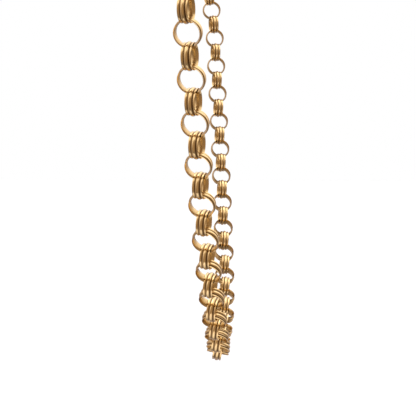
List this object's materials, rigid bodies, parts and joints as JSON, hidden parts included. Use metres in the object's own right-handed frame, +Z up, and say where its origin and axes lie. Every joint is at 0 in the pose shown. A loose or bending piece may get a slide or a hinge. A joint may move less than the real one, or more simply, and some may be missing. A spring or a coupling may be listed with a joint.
{
  "type": "rolo chain necklace",
  "caption": "Gold rolo neck chain: round links of ribbed band, each turned a quarter from the next, hanging as round a neck, closed at the nape by a plain ring clasp.",
  "frame": {"origin": "middle of the nape on the chain's centre line, where the clasp sits and the necklace hangs from the neck", "axes": "+X across the wearer, +Y from the throat towards the nape, +Z up"},
  "size_m": [0.1332, 0.0699, 0.1359],
  "materials": {
    "gold": "polished"
  },
  "bodies": {
    "root": {"chain_right": "gold", "chain_left": "gold", "clasp": "gold"}
  },
  "joints": []
}
